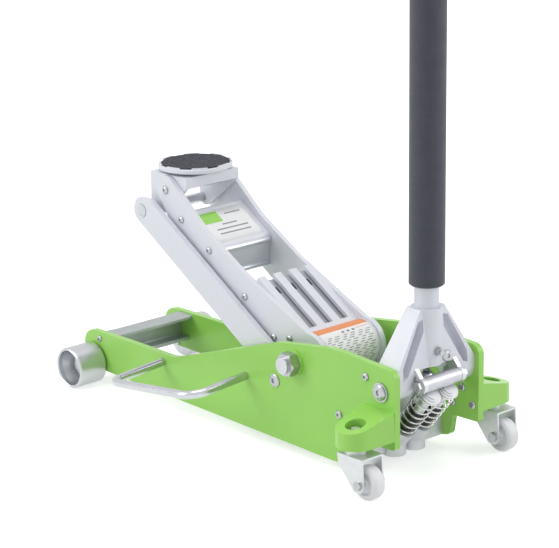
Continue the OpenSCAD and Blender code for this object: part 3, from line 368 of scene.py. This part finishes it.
def foam():
    """Closed-cell foam with its fine skin of pores."""
    m = Maker("foam", (0.050, 0.053, 0.074), 0.78)
    m.set("Sheen Weight", 0.25).set("Sheen Roughness", 0.6)
    m.tint(m.noise(900, 6), 0.86, 1.12).gloss(m.noise(60), 0.05)
    m.bump(m.cells(1500), 0.12, 0.5).bump(m.noise(120), 0.1, 0.3)
    return m.material


def grip_rubber():
    m = Maker("grip_rubber", (0.03, 0.03, 0.032), 0.6)
    m.tint(m.noise(200), 0.8, 1.3).bump(m.noise(1200), 0.05, 0.5)
    return m.material


def nylon():
    m = Maker("nylon", (0.93, 0.935, 0.96), 0.38)
    m.set("Subsurface Weight", 0.05).set("Subsurface Scale", 0.002)
    m.tint(m.noise(40, 5), 0.94, 1.03).gloss(m.noise(70), 0.06)
    m.bump(m.noise(800), 0.04, 0.3)
    return m.material


# Which nodes each material dresses.
LOOKS = {
    green_paint: ["side_plate_left", "side_plate_right", "caster_bracket_left", "caster_bracket_right"],
    silver_paint: ["arm_plate_left", "arm_plate_right", "arm_upper_box", "arm_rear_cover", "link_left",
                   "link_right", "saddle_bracket", "saddle_dish", "handle_yoke", "handle_lower_tube"],
    cast_aluminium: ["pump_block"],
    turned_aluminium: ["front_wheel_left", "front_wheel_right", "handle_upper_tube"],
    dull_steel: ["front_cross_member"],
    bright_steel: ["front_axle", "pivot_shaft", "pivot_spacers", "arm_pivot_tube", "horn_pin",
                   "horn_roller", "saddle_rod", "ram_rod", "release_rod", "valve_stem",
                   "lift_cylinder", "carry_handle_left", "carry_handle_right", "saddle_clip"],
    satin_steel: ["pump_roller"],
    screw_steel: ["axle_nuts", "frame_screws", "gland_nut", "pivot_nuts", "link_bolts", "yoke_bolts",
                  "arm_screws", "link_pins", "roller_bolt", "lock_screw", "caster_axle_left",
                  "caster_axle_right"],
    zinc: ["roller_straps", "plunger_left", "plunger_right", "caster_fork_left", "caster_fork_right"],
    spring_wire: ["pump_springs"],
    black_steel: ["pump_barrels"],
    pad_rubber: ["saddle_pad"],
    foam: ["foam_sleeve"],
    grip_rubber: ["handle_grip", "handle_cap"],
    nylon: ["caster_wheel_left", "caster_wheel_right"],
}


def dress_nodes():
    """Gives each CAD node its one material."""
    for make, names in LOOKS.items():
        material = make()
        for name in names:
            slots = NODES[name].data.materials
            slots.clear()
            slots.append(material)


# ---------- building blocks ----------
def plain(name, rgb, rough=0.35):
    """An even colour with faint noise, for print and for painted shade in gaps."""
    m = Maker(name, rgb, rough)
    m.tint(m.noise(60), 0.98, 1.02).gloss(m.noise(90), 0.04)
    return m.material


def show(name, mesh, material, body):
    """Puts a mesh on its body, in the material given."""
    mesh.materials.append(material)
    obj = bpy.data.objects.new(name, mesh)
    bpy.context.scene.collection.objects.link(obj)
    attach(obj, body)
    return obj


def sheet(name, path, y0, y1, material, across=24, thick=0.12):
    """A thin sheet on the arm along a path of (a, n) points in its frame, from y0 to y1."""
    mesh = bpy.data.meshes.new(name)
    points, faces = [], []
    for a, n in path:
        for k in range(across + 1):
            points.append(in_arm(a, y0 + (y1 - y0) * k / across, n))
    for i in range(len(path) - 1):
        for k in range(across):
            p = i * (across + 1) + k
            faces.append((p, p + 1, p + across + 2, p + across + 1))
    mesh.from_pydata(points, [], faces)
    for face in mesh.polygons:
        face.use_smooth = True
    obj = show(name, mesh, material, "arm")
    solid = obj.modifiers.new("thickness", "SOLIDIFY")
    solid.thickness = thick * MM
    solid.offset = 0
    return obj


def bar(name, at, half, rings, material, body, steps):
    """A turned bar along y about the point at: rings are (share of the half length, radius) pairs."""
    points, faces = [], []
    for share, r in rings:
        for k in range(steps):
            t = math.tau * k / steps
            points.append(at + Vector((r * math.cos(t), share * half, r * math.sin(t))) * MM)
    for i in range(len(rings) - 1):
        for k in range(steps):
            p, q = i * steps + k, i * steps + (k + 1) % steps
            faces.append((p, p + steps, q + steps, q))
    last = (len(rings) - 1) * steps
    faces += [tuple(range(steps)), tuple(reversed(range(last, last + steps)))]
    mesh = bpy.data.meshes.new(name)
    mesh.from_pydata(points, [], faces)
    mesh.validate()
    for face in mesh.polygons:
        face.use_smooth = len(face.vertices) == 4
    return show(name, mesh, material, body)


def flat_path(a0, a1, n, steps=4):
    """Points at height n from a0 to a1 along the arm."""
    return [(a0 + (a1 - a0) * i / steps, n) for i in range(steps + 1)]


def arc_path(r, t0, t1, steps=28):
    """Points round the arm's pivot at radius r, from t0 to t1 degrees."""
    turns = [math.radians(t0 + (t1 - t0) * i / steps) for i in range(steps + 1)]
    return [(r * math.cos(t), r * math.sin(t)) for t in turns]


# ---------- labels, with plain marks only ----------
BOX_TOP = -1.0            # n of the upper box's top face
COVER_R = 34.0            # radius of the rear cover's round end
CARD_GAP = 0.1            # a label over the metal it lies on
PRINT_GAP = 0.15          # print over its label, and the cover's label over the metal
CARD_HALF = {"box": 44, "cover": 48}
BOX_RULES = [(300, -34, -4), (280, -14, 14), (271, -30, 30), (262, -30, 30)]    # a, y from, y to
RULE_HALF = 1.2
BAND_TURN = (38.5, 74)    # degrees round the cover's end
MARKS_AT = 82             # degrees where the row of marks starts
DASH_ROWS = 15
DASH_FIRST, DASH_PITCH, DASH_TURN = 93, 5.8, 1.9    # degrees
DASHES = 6                # in each row
DASH_STEP = 15            # mm from one dash to the next


def make_box_label(white, green, grey):
    card = BOX_TOP + CARD_GAP
    over = card + PRINT_GAP
    half = CARD_HALF["box"]
    sheet("box_label", flat_path(246, 312, card), -half, half, white)
    sheet("box_label_block", flat_path(286, 308, over), 8, 42, green)
    for i, (a, y0, y1) in enumerate(BOX_RULES):
        sheet(f"box_label_rule_{i}", flat_path(a - RULE_HALF, a + RULE_HALF, over), y0, y1, grey)


def make_cover_label(white, orange, grey):
    card = COVER_R + PRINT_GAP
    over = card + PRINT_GAP
    half = CARD_HALF["cover"]
    sheet("cover_label", arc_path(card, 38, 190, 48), -half, half, white)
    sheet("cover_label_band", arc_path(over, *BAND_TURN), -half, half, orange)
    sheet("cover_label_line", arc_path(over, MARKS_AT, MARKS_AT + 1.4, 4), -44, -20, orange)
    for k in range(3):
        y = 10 * k - 17
        sheet(f"cover_label_mark_{k}", arc_path(over, MARKS_AT, MARKS_AT + 6, 6), y, y + 5, grey, across=6)
    for row in range(DASH_ROWS):
        t = DASH_FIRST + row * DASH_PITCH
        path = arc_path(over, t, t + DASH_TURN, 3)
        for part in range(DASHES):
            y = DASH_STEP * part - 44 + 3 * (row % 3)
            length = 9 - 2 * (part % 2)
            sheet(f"cover_label_dash_{row:02d}_{part}", path, y, y + length, grey, across=4)


def make_labels():
    white = plain("label_white", (0.93, 0.93, 0.93))
    grey = plain("label_grey", (0.30, 0.30, 0.32))
    make_box_label(white, plain("label_green", (0.36, 0.75, 0.13)), grey)
    make_cover_label(white, plain("label_orange", (0.86, 0.28, 0.07)), grey)


# ---------- small shapes on the metal ----------
LINK_PIN = SADDLE_PIVOT + joint_place("link_left_swing") - ARM_PIVOT
LINK_PIN.y = 0
LIP_SPINES = {"box_lip_top": (236.6, -8.0), "box_lip_low": (220.6, -42.6)}    # (a, n) on the box's rear face
LIP_R = 4.2
LIP_HALF = 50.6
LIP_ENDS = [(0.985, 0.95), (0.995, 0.8), (1, 0.55)]    # share of the half length, share of the radius
SLOT_PITCH = 30.6         # the cover's slots
UNDER_N = 11.2            # n of the plate that shows through them, greyed with painted shade
UNDER_HALF = 43.4
UNDER_THICK = 1.6
ROD_HALF = 44.4
ROD_RINGS = [(0.97, 7.9), (0.99, 7.6), (1, 6.6)]       # share of the half length, radius


def both_ends(rings):
    """Rings of one end, mirrored for the other."""
    return [(-share, r) for share, r in reversed(rings)] + rings


def make_trim():
    silver = bpy.data.materials["silver_paint"]
    steel = bpy.data.materials["bright_steel"]
    # Painted shade: a near-black colour for sheets that stand where the cover's slots show holes in shadow.
    dark = plain("painted_hole_shade", (0.03, 0.03, 0.035), 0.7)
    # Painted shade: the surface seen through the cover's slots is made a darker grey than the metal because
    # it lies in shadow.
    shade = plain("painted_recess_shade", (0.46, 0.47, 0.51), 0.55)
    lip = [(share, LIP_R * part) for share, part in [(0.97, 1), *LIP_ENDS]]
    for name, (a, n) in LIP_SPINES.items():
        bar(name, in_arm(a, 0, n), LIP_HALF, both_ends(lip), silver, "arm", 24)
    # The plate under the slots, in the darker grey of painted shade.
    sheet("cover_under_plate", flat_path(36, 145, UNDER_N, 12), -UNDER_HALF, UNDER_HALF, shade,
          thick=UNDER_THICK)
    # Painted shade: a near-black sheet under each slot, where the holes show only shadow.
    for k in range(3):
        y = (k - 1) * SLOT_PITCH
        sheet(f"cover_slot_hole_shade_{k}", flat_path(116, 129, UNDER_N + 1), y - 4, y + 3, dark, across=6)
    bar("link_rod", LINK_PIN, ROD_HALF, both_ends(ROD_RINGS), steel, "saddle_head", 40)


# ---------- the pump's springs ------------
def make_springs():
    """The pump's two springs again, as one mesh of its own on the chassis, in place of the CAD node."""
    cad = NODES["pump_springs"]
    mesh = cad.data.copy()
    mesh.transform(cad.matrix_world)
    wire = mesh.materials[0]
    mesh.materials.clear()
    springs = show("pump_springs_coiled", mesh, wire, "chassis")
    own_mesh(springs)
    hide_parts("pump_springs")


# ---------- the scene ----------
bpy.context.scene.view_settings.view_transform = "Standard"
make_camera()
make_world()
for lamp in LAMPS:
    area_light(*lamp)
make_floor()
dress_nodes()
make_labels()
make_trim()
make_springs()
